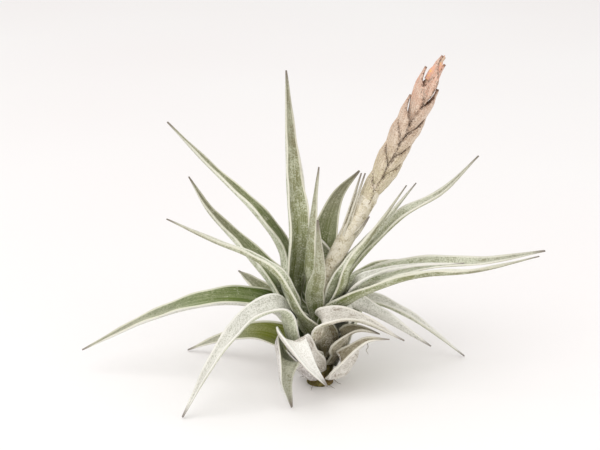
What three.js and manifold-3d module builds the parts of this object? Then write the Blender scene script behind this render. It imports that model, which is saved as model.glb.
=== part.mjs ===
// Air plant (a small grey Tillandsia) in flower, standing on its stem foot and its lowest leaf tips.
// Millimetres, +Z up, +Y towards the back. The origin is the centre of the stem's flat foot.
import * as THREE from "three";
import { mergeVertices } from "three/addons/utils/BufferGeometryUtils.js";
import Module from "manifold-3d";

const wasm = await Module();
wasm.setup();

const stemHeight = 24;
const bladeThickness = 0.65;
const seatGap = 0.3;
const tipWidth = 0.5;
const clasp = 0.55; // width of a leaf where it joins the stem, as a share of the blade's
const fullWidth = 9; // distance from the root at which a blade is full width and starts to taper
const sheathReach = 13; // how far along a leaf its base still curves round the stem
const turnStart = 4; // distances from the root between which a blade turns about its own line
const turnEnd = 16;
const bladeCup = 70; // half angle of the channel in the middle of a blade, degrees
const tipCup = 72;

const stemProfile = [[3.6, 0], [3.5, 3], [3.3, 8], [2.9, 14], [2.4, 19], [1.9, 24]]; // radius, height

const felt = { color: 0xb9bda6, roughness: 0.85, metalness: 0 };
const paleFelt = { color: 0xd6d5c8, roughness: 0.9, metalness: 0 };
const green = { color: 0x8f9a6c, roughness: 0.8, metalness: 0 };

// height and bearing of the root on the stem, rise and length of the sheath, blade width,
// distance at which the blade starts to taper, where it isn't the usual one,
// turn of the blade about its own line, then the points that the blade's middle passes through
const leaves = [
  { name: "leaf_tall", root: 19, bearing: 170, rise: 51, sheath: 6.5, width: 8.8, full: 32, turn: -40,
    path: [[-6, 0.5, 42.3], [-7.5, 10.5, 57.7], [-9, 14, 82.5]], look: felt },
  { name: "leaf_tall_behind", root: 22.5, bearing: 75, rise: 74, sheath: 12, width: 6, turn: -20,
    path: [[-4, 6, 42.8], [-5.5, 14.5, 55.1], [-8, 18.5, 69]], look: felt },
  { name: "leaf_upper_left", root: 16, bearing: 152, rise: 52, sheath: 10, width: 10.5, full: 14, turn: 22,
    path: [[-9.5, 6.5, 35.3], [-16.5, 5, 46.9], [-28, 11, 56.5], [-40.5, 16, 68]], look: green },
  { name: "leaf_back_left", root: 14.5, bearing: 150, rise: 47, sheath: 10, width: 12, full: 16, turn: 4,
    path: [[-12.5, 6.5, 27.7], [-21.5, 16, 34.1], [-30, 21, 41.5], [-36, 26, 49.5]], look: green },
  { name: "leaf_front_left", root: 13, bearing: 238, rise: 57, sheath: 7.5, width: 9, turn: -54,
    path: [[-10, -8.5, 33.7], [-18, -4, 38], [-27.5, -2.5, 41.5], [-40, 0, 46.5]], look: felt },
  { name: "leaf_long_left", root: 9, bearing: 132, rise: 47, sheath: 8, width: 13, turn: 34,
    path: [[-15.5, 3, 22.2], [-28.5, -1, 24.5], [-45.5, 2, 18], [-64.5, 5, 7]], look: green },
  { name: "leaf_short_back_left", root: 7, bearing: 125, rise: 45, sheath: 8, width: 11, turn: 0,
    path: [[-17, 19, 19.8], [-23, 34, 18.5]], look: green },
  { name: "leaf_drooping_front", root: 6, bearing: 233, rise: 56, sheath: 14, width: 12.5, turn: -40,
    path: [[-10, -12.5, 27.4], [-17.5, -15.5, 26.5], [-23.5, -18.5, 21], [-29, -20.5, 13], [-35.5, -22, 0.5]],
    look: paleFelt },
  { name: "leaf_low_left", root: 4, bearing: 133, rise: 53, sheath: 4.5, width: 10.5, turn: -15,
    path: [[-16, 10, 10.1], [-27, 15, 6], [-37, 19, 0.5]], look: green },
  { name: "leaf_low_front", root: 2, bearing: 222, rise: 48, sheath: 7.5, width: 13.5, full: 15, turn: -15,
    path: [[-9, -12, 14], [-9, -16.5, 12.4], [-9, -16.5, 7], [-7.5, -16.5, 0.5]], look: felt },
  { name: "leaf_curled_front", root: 4.5, bearing: 245, rise: 46, sheath: 8.5, width: 11.5, full: 20, turn: 0,
    path: [[-7.2, -14.3, 19.2], [-7.7, -17.3, 20.6], [-5.2, -19.6, 17.4], [-2.1, -20, 12.9], [1.6, -19, 7.7]],
    look: paleFelt },
  { name: "leaf_low_right", root: 8.5, bearing: 274, rise: 64, sheath: 4.5, width: 12, turn: 80,
    path: [[-0.8, -11.4, 21.9], [1.9, -12.1, 24], [6.5, -10.32, 23.8], [12, -8.76, 21.5], [21.9, -7, 15.2]],
    look: felt },
  { name: "leaf_old_right", root: 2, bearing: 328, rise: 46, sheath: 8.5, width: 10.6, full: 13, turn: 45,
    path: [[4.2, -9.2, 8.9], [7, -11.6, 13.4], [9.8, -11.8, 16], [12.6, -11.2, 17.3], [17.8, -10, 16.9]],
    look: paleFelt },
  { name: "leaf_old_right_upper", root: 6.5, bearing: 325, rise: 58, sheath: 6, width: 8.3, full: 12, turn: 40,
    path: [[4.8, -6.8, 14.9], [7.2, -7.6, 18.1], [10.5, -7, 18.5], [15.5, -6.3, 16.7]], look: paleFelt },
  { name: "leaf_arched_right", root: 12, bearing: 15, rise: 51, sheath: 7.5, width: 9.5, turn: -35,
    path: [[7.5, 2.5, 22.5], [16.5, 4.5, 17.5], [30, 4, 8.5]], look: paleFelt },
  { name: "leaf_back_right", root: 4, bearing: 35, rise: 60, sheath: 5, width: 9, turn: 0,
    path: [[12, 10.5, 19], [25, 12, 14], [40.5, 15, 0.5]], look: felt },
  { name: "leaf_long_right_lower", root: 16, bearing: 300, rise: 71, sheath: 3, width: 8.5, turn: 30,
    path: [[7.5, -5.5, 26.5], [17, -9, 32.45], [26.5, -8, 34.5], [39.5, -9.5, 36], [55.5, -10, 40]],
    look: green },
  { name: "leaf_long_right_upper", root: 15.5, bearing: 45, rise: 52, sheath: 7, width: 9.5, turn: 0,
    path: [[8, 3.5, 25.4], [18.5, 8.5, 28.3], [30, 11, 30], [45.5, 14, 29.5], [61.5, 16, 31.5]],
    look: green },
  { name: "leaf_right_between", root: 18, bearing: 335, rise: 61, sheath: 10, width: 5.5, turn: 20,
    path: [[11.5, -7.5, 33.5], [24, 1.5, 33], [38, 3, 33]], look: paleFelt },
  { name: "leaf_rising_right", root: 19, bearing: 60, rise: 61, sheath: 5, width: 8.9, turn: -35,
    path: [[9, 5.5, 33.1], [21, 4, 46.2], [32, 9, 51], [41.5, 10, 60.5]], look: green },
  { name: "leaf_slender_right_back", root: 22.5, bearing: -35, rise: 71, sheath: 7.5, width: 6.5, turn: 10,
    path: [[8, 1, 34.9], [17, 2, 45.8], [25, 7, 54]], look: felt },
  { name: "leaf_slender_right_front", root: 21, bearing: 327, rise: 58, sheath: 7.5, width: 7.3, turn: 25,
    path: [[6.5, -7, 35.6], [11.3, -3.5, 41.5], [16.4, -1.5, 47.9], [22, 0, 55.7]], look: felt },
  { name: "leaf_inner_back", root: 20.5, bearing: 80, rise: 67, sheath: 7, width: 11, full: 14, turn: 0,
    path: [[1, 8, 37.5], [4.5, 15, 47.1], [10.5, 16, 54.5]], look: green },
  { name: "leaf_inner_narrow", root: 21.5, bearing: 195, rise: 82, sheath: 5.5, width: 6.8, full: 14, turn: 0,
    path: [[-2, -2, 47.1], [-0.5, 5, 59]], look: green },
  { name: "leaf_inner_front", root: 18.5, bearing: 255, rise: 69, sheath: 10, width: 5.4, full: 14, turn: 0,
    path: [[-0.5, -12.5, 37.3], [-1, -12, 50.5]], look: felt },
  { name: "leaf_rear_middle", root: 12, bearing: 106, rise: 45, sheath: 8, width: 8, turn: 0,
    path: [[-4, 14.5, 25.4], [-6.5, 27, 28.5], [-9, 44, 18]], look: green },
  { name: "leaf_rear_right", root: 8, bearing: 40, rise: 57, sheath: 6, width: 8.5, turn: 0,
    path: [[9, 14, 23], [19, 26, 24.5], [28, 40, 17]], look: green },
  { name: "leaf_rear_upper_right", root: 14, bearing: 67, rise: 47, sheath: 4.5, width: 7.2, turn: 0,
    path: [[4, 13, 28], [7, 18, 33.4], [8, 30, 31.5]], look: green },
  { name: "leaf_rear_upper_left", root: 17.5, bearing: 78, rise: 58, sheath: 10, width: 7.2, turn: 0,
    path: [[-3.5, 10, 30.8], [-4.5, 17, 37.4], [-6, 31, 37]], look: green },
  { name: "leaf_rear_low", root: 2, bearing: 70, rise: 52, sheath: 7, width: 8.5, turn: 0,
    path: [[-3, 16, 14.6], [-5, 25, 9], [-6, 33, 0.5]], look: paleFelt },
];

// the flower stalk and spike, from just above the stem to the tip, and the stalk's radius along it
const spikeLine = [
  [0, 0, 24.8], [2.5, 0.5, 32.5], [8.5, 2.5, 44], [12, 3.5, 50],
  [17, 4.5, 59.5], [23.5, 6, 72], [29, 7.5, 84], [31.5, 8, 87.5],
];
const stalkRadii = [[0, 1.5], [0.12, 2.1], [0.3, 2.4], [0.42, 2.2], [0.52, 1.5], [0.9, 1.1], [1, 0.35]];
const bractLength = 15;
const bractThickness = 0.6; // of the narrow leaflets too
// bracts in two ranks: side -1 is left, the distance of each point along the line, and how far it stands out
const bracts = [
  { side: -1, tip: 38, out: 2.6 }, { side: 1, tip: 43.5, out: 3.3 }, { side: -1, tip: 46, out: 3.2 },
  { side: 1, tip: 48.5, out: 3.1 }, { side: -1, tip: 53.5, out: 3.5 }, { side: 1, tip: 55.5, out: 3.3 },
  { side: -1, tip: 58.5, out: 3.4 }, { side: 1, tip: 62.5, out: 3.2 }, { side: -1, tip: 66.5, out: 2.8 },
  { side: 1, tip: 69.5, out: 1.5 }, { side: -1, tip: 71, out: 0.6 },
];
const stalkLeaflets = [
  { path: [[5, 1, 40], [7.5, 2, 48], [10.5, 3, 58]], width: 2.2, facing: [0.3, -1, 0] },
  { path: [[6, 0.5, 40.5], [8.5, 1, 49], [11.5, 3, 58]], width: 2, facing: [0.3, -1, 0] },
  { path: [[8, 1.5, 40.5], [10, -0.5, 43.5], [12.5, -1, 47.5]], width: 2.4, facing: [-0.4, -1, 0] },
];

const smooth = (a, b, x) => {
  const t = Math.min(1, Math.max(0, (x - a) / (b - a)));
  return t * t * (3 - 2 * t);
};
const mix = (a, b, t) => a + (b - a) * t;

function smoothCurve(points) {
  const places = points.map((p) => new THREE.Vector3(...p));
  return new THREE.CatmullRomCurve3(places, false, "catmullrom", 0.5);
}

function stemRadius(z) {
  for (let i = 1; i < stemProfile.length; i++) {
    const [r1, z1] = stemProfile[i];
    const [r0, z0] = stemProfile[i - 1];
    if (z <= z1) return mix(r0, r1, (z - z0) / (z1 - z0));
  }
  return stemProfile.at(-1)[0];
}

// The middle line of a leaf, with the direction of its upper face at the root.
function leafLine(leaf) {
  const bearing = THREE.MathUtils.degToRad(leaf.bearing);
  const rise = THREE.MathUtils.degToRad(leaf.rise);
  const out = new THREE.Vector3(Math.cos(bearing), Math.sin(bearing), 0);
  const up = new THREE.Vector3(0, 0, 1);
  const reach = stemRadius(leaf.root) + seatGap + bladeThickness / 2;
  const root = out.clone().multiplyScalar(reach).addScaledVector(up, leaf.root);
  const along = out.clone().multiplyScalar(Math.cos(rise)).addScaledVector(up, Math.sin(rise));
  const sheathEnd = root.clone().addScaledVector(along, leaf.sheath);
  const curve = smoothCurve([root, sheathEnd, ...leaf.path]);
  const upper = out.clone().multiplyScalar(-Math.sin(rise)).addScaledVector(up, Math.cos(rise));
  return { curve, upper };
}

function leafWidth(distance, length, leaf) {
  if (distance < fullWidth) return leaf.width * mix(clasp, 1, smooth(-3, fullWidth, distance));
  const full = leaf.full ?? fullWidth;
  return mix(leaf.width, tipWidth, Math.max(0, (distance - full) / (length - full)));
}

// Closes a strip of cross sections, each with an upper and a lower row of points, into one solid.
function closeStrip(sections) {
  const row = sections[0].upper.length;
  const last = sections.length - 1;
  const points = [...sections.flatMap((s) => s.upper), ...sections.flatMap((s) => s.lower)];
  const base = row * sections.length;
  const faces = [];
  const quad = (a, b, c, d) => faces.push(a, b, c, a, c, d);
  for (let i = 0; i < last; i++) {
    for (let j = 0; j < row - 1; j++) {
      const k = i * row + j;
      quad(k, k + 1, k + row + 1, k + row);
      quad(base + k, base + k + row, base + k + row + 1, base + k + 1);
      if (j === 0) quad(base + k, k, k + row, base + k + row);
      if (j === row - 2) quad(k + 1, base + k + 1, base + k + row + 1, k + row + 1);
    }
  }
  for (let j = 0; j < row - 1; j++) {
    const k = last * row + j;
    quad(base + j, base + j + 1, j + 1, j);
    quad(k, k + 1, base + k + 1, base + k);
  }
  const geometry = new THREE.BufferGeometry();
  geometry.setAttribute("position", new THREE.Float32BufferAttribute(points.flatMap((p) => p.toArray()), 3));
  geometry.setIndex(faces);
  return geometry;
}

// One cross section of a blade: an arc of given half width and half angle, open towards the face direction.
function arcSection({
  centre, along, face, half, angle, thickness, sink = 0, fill = 0, squash = 1, across = 4,
}) {
  const side = new THREE.Vector3().crossVectors(along, face);
  const radius = half / angle;
  const depth = radius * (1 - Math.cos(angle));
  const upper = [];
  const lower = [];
  for (let j = 0; j <= across; j++) {
    const a = angle * (2 * j / across - 1);
    const inward = face.clone().multiplyScalar(Math.cos(a)).addScaledVector(side, -Math.sin(a));
    const middle = centre.clone().addScaledVector(side, squash * radius * Math.sin(a))
      .addScaledVector(face, radius * (1 - Math.cos(a)) - sink);
    const chord = centre.clone().addScaledVector(side, squash * 0.9 * radius * Math.sin(a))
      .addScaledVector(face, 0.9 * depth + 0.1);
    upper.push(middle.clone().addScaledVector(inward, thickness / 2).lerp(chord, fill));
    lower.push(middle.clone().addScaledVector(inward, -thickness / 2));
  }
  return { upper, lower };
}

// A channelled, tapering leaf whose base curves round the stem.
function leafSolid(leaf) {
  const { curve, upper } = leafLine(leaf);
  const length = curve.getLength();
  const stations = Math.round(length / 6) + 4;
  const sections = [];
  const normal = upper.clone();
  for (let i = 0; i <= stations; i++) {
    const s = (i / stations) ** 1.05;
    const centre = curve.getPointAt(s);
    const along = curve.getTangentAt(s);
    normal.addScaledVector(along, -normal.dot(along)).normalize();
    const distance = s * length;
    const turn = THREE.MathUtils.degToRad(leaf.turn * smooth(turnStart, turnEnd, distance));
    const face = normal.clone().applyAxisAngle(along, turn);
    const half = leafWidth(distance, length, leaf) / 2;
    const free = smooth(sheathReach * 0.45, sheathReach, distance);
    const wrapped = half / Math.max(2.5, Math.hypot(centre.x, centre.y));
    const cup = THREE.MathUtils.degToRad(mix(bladeCup, tipCup, s));
    const angle = Math.min(mix(wrapped, cup, free), half / (bladeThickness / 2 + 0.15));
    const sink = 0.5 * (half / angle) * (1 - Math.cos(angle)) * free;
    sections.push(arcSection({ centre, along, face, half, angle, thickness: bladeThickness, sink }));
  }
  return closeStrip(sections);
}

// A thin straight-sided blade along a few points, for the narrow leaflets on the flower stalk.
function stripSolid(points, width, facing) {
  const curve = smoothCurve(points);
  const sections = [];
  for (let i = 0; i <= 6; i++) {
    const s = i / 6;
    const along = curve.getTangentAt(s);
    const towards = new THREE.Vector3(...facing);
    const face = towards.addScaledVector(along, -along.dot(towards)).normalize();
    const half = mix(width, tipWidth, s) / 2;
    const centre = curve.getPointAt(s);
    const angle = Math.min(0.7, half / 0.5);
    sections.push(arcSection({ centre, along, face, half, angle, thickness: bractThickness, across: 2 }));
  }
  return closeStrip(sections);
}

// A boat-shaped bract clasping the spike on one side, solid at its base and thin at its point.
function bractSolid(axis, { side, tip, out }) {
  const length = axis.getLength();
  const base = tip - bractLength;
  const sections = [];
  const places = [0, 0.15, 0.32, 0.5, 0.66, 0.8, 0.91, 1];
  const keel = places.map((s) => {
    const at = Math.min(0.999, (base + s * bractLength) / length);
    const along = axis.getTangentAt(at);
    const left = new THREE.Vector3().crossVectors(along, new THREE.Vector3(0, 1, 0)).normalize();
    const lift = mix(0.8, out, smooth(-0.25, 0.75, s)) * (1 - 0.1 * smooth(0.75, 1, s));
    const point = axis.getPointAt(at).addScaledVector(left, -side * lift);
    return { point, inward: left.multiplyScalar(side) };
  });
  places.forEach((s, i) => {
    const before = keel[Math.max(0, i - 1)].point;
    const after = keel[Math.min(places.length - 1, i + 1)].point;
    const along = after.clone().sub(before).normalize();
    const face = keel[i].inward.clone().addScaledVector(along, -along.dot(keel[i].inward)).normalize();
    const radius = mix(1.7, 2.7, smooth(0, 0.5, s)) * (1 - 0.55 * smooth(0.7, 1, s));
    const half = mix(2.6, 4.1, smooth(0, 0.45, s)) * (1 - smooth(0.4, 1.02, s)) + 0.25;
    const angle = Math.min(half / radius, 1.75);
    const fill = 1 - smooth(0.45, 0.78, s);
    sections.push(arcSection({
      centre: keel[i].point, along, face, half, angle, thickness: bractThickness, fill, squash: 0.85,
    }));
  });
  return closeStrip(sections);
}

// A round stalk of changing radius along a curve.
function stalkSolid(curve, steps, sides, radiusAt) {
  const frames = curve.computeFrenetFrames(steps, false);
  const points = [];
  const faces = [];
  for (let i = 0; i <= steps; i++) {
    const centre = curve.getPointAt(i / steps);
    for (let j = 0; j < sides; j++) {
      const a = (2 * Math.PI * j) / sides;
      const r = radiusAt(i / steps);
      points.push(centre.clone().addScaledVector(frames.normals[i], r * Math.cos(a))
        .addScaledVector(frames.binormals[i], r * Math.sin(a)));
      const k = i * sides + j;
      const n = i * sides + (j + 1) % sides;
      if (i < steps) faces.push(k, n, n + sides, k, n + sides, k + sides);
    }
  }
  const bottom = points.push(curve.getPointAt(0)) - 1;
  const top = points.push(curve.getPointAt(1)) - 1;
  for (let j = 0; j < sides; j++) {
    const n = (j + 1) % sides;
    faces.push(bottom, n, j, top, steps * sides + j, steps * sides + n);
  }
  const geometry = new THREE.BufferGeometry();
  geometry.setAttribute("position", new THREE.Float32BufferAttribute(points.flatMap((p) => p.toArray()), 3));
  geometry.setIndex(faces);
  return geometry;
}

function toSolid(geometry) {
  const merged = geometry.clone();
  merged.deleteAttribute("normal");
  merged.deleteAttribute("uv");
  const clean = mergeVertices(merged, 1e-4);
  return new wasm.Manifold(new wasm.Mesh({
    numProp: 3,
    vertProperties: new Float32Array(clean.attributes.position.array),
    triVerts: new Uint32Array(clean.index.array),
  }));
}

function fromSolid(solid) {
  const mesh = solid.getMesh();
  const geometry = new THREE.BufferGeometry();
  geometry.setAttribute("position", new THREE.Float32BufferAttribute(Array.from(mesh.vertProperties), 3));
  geometry.setIndex(Array.from(mesh.triVerts));
  return geometry;
}

function named(name, geometry, look) {
  geometry.computeVertexNormals();
  const mesh = new THREE.Mesh(geometry, new THREE.MeshStandardMaterial(look));
  mesh.name = name;
  return mesh;
}

const plant = new THREE.Group();

const stemPoints = [[0, 0], ...stemProfile, [0, stemHeight]].map(([r, z]) => new THREE.Vector2(r, z));
const stemGeometry = new THREE.LatheGeometry(stemPoints, 20);
stemGeometry.rotateX(Math.PI / 2);
plant.add(named("stem", stemGeometry, { color: 0x8a7f5c, roughness: 0.9, metalness: 0 }));

for (const leaf of leaves) plant.add(named(leaf.name, leafSolid(leaf), leaf.look));

const axis = smoothCurve(spikeLine);
const stalkRadius = (s) => stalkRadii.reduce((r, [at, radius], i) => {
  const [from, earlier] = stalkRadii[Math.max(0, i - 1)];
  return s >= from && s <= at ? mix(earlier, radius, at > from ? (s - from) / (at - from) : 1) : r;
}, stalkRadii[0][1]);
let spike = toSolid(stalkSolid(axis, 22, 10, stalkRadius));
for (const bract of bracts) spike = spike.add(toSolid(bractSolid(axis, bract)));
for (const { path, width, facing } of stalkLeaflets) {
  spike = spike.add(toSolid(stripSolid(path, width, facing)));
}
// the outer skin only, so that no closed space stays between the stalk and the bracts
spike = spike.decompose().reduce((skin, piece) => (piece.volume() > skin.volume() ? piece : skin));
plant.add(named("flower_spike", fromSolid(spike), { color: 0xd0a893, roughness: 0.85, metalness: 0 }));

export default plant;
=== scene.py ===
import bpy
import bmesh
import math
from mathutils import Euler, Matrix, Quaternion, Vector, noise


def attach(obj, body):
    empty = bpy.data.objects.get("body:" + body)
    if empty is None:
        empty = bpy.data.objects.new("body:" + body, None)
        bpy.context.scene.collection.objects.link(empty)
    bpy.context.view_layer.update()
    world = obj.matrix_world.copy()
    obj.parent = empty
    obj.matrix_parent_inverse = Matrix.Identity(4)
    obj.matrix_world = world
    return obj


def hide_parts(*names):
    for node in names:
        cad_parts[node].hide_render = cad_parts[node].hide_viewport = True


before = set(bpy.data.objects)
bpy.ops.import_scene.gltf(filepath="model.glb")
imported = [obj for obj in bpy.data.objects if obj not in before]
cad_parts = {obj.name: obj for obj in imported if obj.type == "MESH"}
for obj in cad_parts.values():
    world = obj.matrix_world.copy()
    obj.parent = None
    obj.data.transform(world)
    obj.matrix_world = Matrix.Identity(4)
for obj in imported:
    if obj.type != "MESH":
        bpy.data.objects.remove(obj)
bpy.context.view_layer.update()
print("frame loaded:", len(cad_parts), "solids")

# the plant's sizes and places are in millimetres, those of the studio and inside its materials in metres,
# apart from the inputs of blade groups that say mm
mm = 0.001

# the camera looks along +Y and 20 degrees down, as the photograph does
camera = {"place": (-5.4, -361.5, 176.4), "tilt": 70, "lens": 88.9, "sensor": 36, "farthest": 20}

cameraData = bpy.data.cameras.new("camera")
cameraData.lens = camera["lens"]
cameraData.sensor_width = camera["sensor"]
cameraData.clip_end = camera["farthest"]
cameraObject = bpy.data.objects.new("camera", cameraData)
cameraObject.location = Vector(camera["place"]) * mm
cameraObject.rotation_euler = Euler((math.radians(camera["tilt"]), 0, 0))
bpy.context.scene.collection.objects.link(cameraObject)
bpy.context.scene.camera = cameraObject

# light and floor, with colours as they look on a screen
studio = {
    "sky": (1.0, 0.985, 0.98), "skyStrength": 0.78, "lookAt": (0, 0, 0.04),
    "keyPlace": (-0.35, -0.45, 0.9), "keySize": 1.0, "keyPower": 4.6,
    "fillPlace": (0.7, -0.5, 0.35), "fillSize": 0.6, "fillPower": 0.8,
    "floorSize": 3, "floorColour": (250, 247, 246), "floorPale": (252, 251, 250),
    "floorTone": {"scale": 3.0, "from": 0.3, "to": 0.7},
}


def paint(colour):
    # a colour as it looks on a screen, 0 to 255, as the linear one that shaders want
    def linear(c):
        c = c / 255
        return c / 12.92 if c <= 0.04045 else ((c + 0.055) / 1.055) ** 2.4
    return tuple(linear(c) for c in colour) + (1.0,)


def smooth(a, b, x):
    t = min(1, max(0, (x - a) / (b - a)))
    return t * t * (3 - 2 * t)


def mix(a, b, t):
    return a + (b - a) * t


def mixAlong(table, x):
    # the value at x in a table of (x, value) rows
    for (x0, value0), (x1, value1) in zip(table, table[1:]):
        if x <= x1:
            return mix(value0, value1, (x - x0) / (x1 - x0))
    return table[-1][1]


world = bpy.data.worlds.new("studio")
world.use_nodes = True
world.node_tree.nodes["Background"].inputs["Color"].default_value = (*studio["sky"], 1)
world.node_tree.nodes["Background"].inputs["Strength"].default_value = studio["skyStrength"]
bpy.context.scene.world = world
bpy.context.scene.view_settings.view_transform = "Standard"


def softbox(name, place, size, power):
    data = bpy.data.lights.new(name, "AREA")
    data.shape = "DISK"
    data.size = size
    data.energy = power
    light = bpy.data.objects.new(name, data)
    light.location = place
    light.rotation_euler = (Vector(studio["lookAt"]) - Vector(place)).to_track_quat("-Z", "Y").to_euler()
    bpy.context.scene.collection.objects.link(light)


softbox("keyLight", studio["keyPlace"], studio["keySize"], studio["keyPower"])
softbox("fillLight", studio["fillPlace"], studio["fillSize"], studio["fillPower"])


# short names for the shader nodes that the finishes use most
def feed(tree, socket, value):
    # a socket takes a plain value, or a link from another node
    if isinstance(value, bpy.types.NodeSocket):
        tree.links.new(value, socket)
    else:
        socket.default_value = value


def calculate(tree, operation, first, second=None, clamp=False):
    node = tree.nodes.new("ShaderNodeMath")
    node.operation = operation
    node.use_clamp = clamp
    feed(tree, node.inputs[0], first)
    if second is not None:
        feed(tree, node.inputs[1], second)
    return node.outputs[0]


def plus(tree, first, second, clamp=False):
    return calculate(tree, "ADD", first, second, clamp)


def minus(tree, first, second):
    return calculate(tree, "SUBTRACT", first, second)


def times(tree, first, second):
    return calculate(tree, "MULTIPLY", first, second)


def rampBetween(tree, low, high, value):
    node = tree.nodes.new("ShaderNodeMapRange")
    node.interpolation_type = "SMOOTHSTEP"
    for label, number in (("From Min", low), ("From Max", high), ("Value", value)):
        feed(tree, node.inputs[label], number)
    return node.outputs["Result"]


def noiseAt(tree, vector, scale, detail=2.0, rough=0.55):
    node = tree.nodes.new("ShaderNodeTexNoise")
    for label, value in (("Vector", vector), ("Scale", scale), ("Detail", detail), ("Roughness", rough)):
        feed(tree, node.inputs[label], value)
    return node.outputs["Fac"]


def spots(tree, where, look):
    # soft-edged spots: a noise between two of its levels
    level = noiseAt(tree, where, look["scale"], look.get("detail", 2.0), look.get("rough", 0.55))
    return rampBetween(tree, look["from"], look["to"], level)


def objectPlace(tree):
    return tree.nodes.new("ShaderNodeTexCoord").outputs["Object"]


def splitVector(tree, vector):
    parts = tree.nodes.new("ShaderNodeSeparateXYZ")
    feed(tree, parts.inputs[0], vector)
    return parts.outputs


def blendColour(tree, amount, first, second):
    # screen colours, or colours from other nodes
    node = tree.nodes.new("ShaderNodeMix")
    node.data_type = "RGBA"
    feed(tree, node.inputs[0], amount)
    for socket, value in ((node.inputs[6], first), (node.inputs[7], second)):
        feed(tree, socket, paint(value) if isinstance(value, tuple) else value)
    return node.outputs[2]


# the three values that each attribute of a blade holds, all but the share in millimetres
bladeValues = {"blade": ("distance", "offset", "half"), "reach": ("distance", "left", "share")}


def bladeAttribute(tree, name):
    node = tree.nodes.new("ShaderNodeAttribute")
    node.attribute_name = name
    return dict(zip(bladeValues[name], splitVector(tree, node.outputs["Vector"])))


# node groups that the finishes share
def newGroup(name, inputs, outputs):
    group = bpy.data.node_groups.new(name, "ShaderNodeTree")
    for label, value in inputs.items():
        socket = group.interface.new_socket(label, in_out="INPUT", socket_type="NodeSocketFloat")
        socket.default_value = value
    for label in outputs:
        group.interface.new_socket(label, in_out="OUTPUT", socket_type="NodeSocketFloat")
    entry = group.nodes.new("NodeGroupInput")
    leave = group.nodes.new("NodeGroupOutput")
    return group, entry.outputs, leave.inputs


scaleFelt = {
    "coarseGrain": 420.0, "coarseShare": 0.55, "bareLevel": 1.22, "coverShare": 0.8,
    "softBelow": 0.07, "softAbove": 0.09, "grainHeight": 0.8, "cellDepth": 0.5,
}


def makeScurf():
    # the tiny silver scales that cover the plant: a fine grain in tone and height
    group, entry, leave = newGroup("scurf", {"Grain": 2600.0, "Cover": 0.5}, ["Scales", "Height"])
    where = objectPlace(group)
    fine = noiseAt(group, where, entry["Grain"], detail=3.0, rough=0.65)
    coarse = noiseAt(group, where, scaleFelt["coarseGrain"], detail=2.0, rough=0.5)
    cells = group.nodes.new("ShaderNodeTexVoronoi")
    feed(group, cells.inputs["Vector"], where)
    feed(group, cells.inputs["Scale"], entry["Grain"])
    spread = plus(group, fine, times(group, coarse, scaleFelt["coarseShare"]))
    level = minus(group, scaleFelt["bareLevel"], times(group, entry["Cover"], scaleFelt["coverShare"]))
    low = minus(group, level, scaleFelt["softBelow"])
    high = plus(group, level, scaleFelt["softAbove"])
    feed(group, leave["Scales"], rampBetween(group, low, high, spread))
    dips = times(group, cells.outputs["Distance"], scaleFelt["cellDepth"])
    feed(group, leave["Height"], minus(group, times(group, fine, scaleFelt["grainHeight"]), dips))
    return group


ribLook = {"shiftWithWidth": 0.21, "bandScale": 0.36, "lines": 0.6, "bands": 0.4, "from": 0.43, "to": 0.57}


def makeStripes():
    # fine lines and broad bands along the blade: the ribs carry more scales than the furrows
    group, entry, leave = newGroup("bladeStripes", {"Lines per mm": 2.5, "Waver": 0.03}, ["Ribs"])
    place = bladeAttribute(group, "blade")
    vector = group.nodes.new("ShaderNodeCombineXYZ")
    feed(group, vector.inputs[0], times(group, place["offset"], entry["Lines per mm"]))
    feed(group, vector.inputs[1], times(group, place["distance"], entry["Waver"]))
    feed(group, vector.inputs[2], times(group, place["half"], ribLook["shiftWithWidth"]))
    lines = noiseAt(group, vector.outputs[0], 1.0, detail=2.0, rough=0.7)
    bands = noiseAt(group, vector.outputs[0], ribLook["bandScale"], detail=1.0, rough=0.5)
    both = plus(group, times(group, lines, ribLook["lines"]), times(group, bands, ribLook["bands"]))
    feed(group, leave["Ribs"], rampBetween(group, ribLook["from"], ribLook["to"], both))
    return group


# where a margin starts and ends to fade, as shares of its width
marginFade = {"from": 0.55, "to": 1.35}


def makeMargin():
    # the line along each edge of a blade
    group, entry, leave = newGroup("bladeMargin", {"Width mm": 0.45}, ["Margin"])
    place = bladeAttribute(group, "blade")
    inside = minus(group, place["half"], calculate(group, "ABSOLUTE", place["offset"]))
    low = times(group, entry["Width mm"], marginFade["from"])
    high = times(group, entry["Width mm"], marginFade["to"])
    feed(group, leave["Margin"], minus(group, 1.0, rampBetween(group, low, high, inside)))
    return group


def makeReach():
    # how far along the blade a point is, as a share of it, and how close to its end
    group, entry, leave = newGroup("bladeReach", {"Tip mm": 4.0}, ["Along", "Tip"])
    place = bladeAttribute(group, "reach")
    feed(group, leave["Along"], place["share"])
    feed(group, leave["Tip"], minus(group, 1.0, rampBetween(group, 0.0, entry["Tip mm"], place["left"])))
    return group


groups = {"scurf": makeScurf(), "stripes": makeStripes(), "margin": makeMargin(), "reach": makeReach()}


def useGroup(tree, key, **values):
    node = tree.nodes.new("ShaderNodeGroup")
    node.node_tree = groups[key]
    for label, value in values.items():
        feed(tree, node.inputs[label.replace("_", " ")], value)
    return node.outputs


def newMaterial(name, roughness, sheen=0.0, specular=0.3):
    material = bpy.data.materials.new(name)
    material.use_nodes = True
    tree = material.node_tree
    shader = tree.nodes["Principled BSDF"]
    shader.inputs["Roughness"].default_value = roughness
    shader.inputs["Specular IOR Level"].default_value = specular
    shader.inputs["Sheen Weight"].default_value = sheen
    shader.inputs["Sheen Roughness"].default_value = 0.6
    return material, tree, shader


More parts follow.
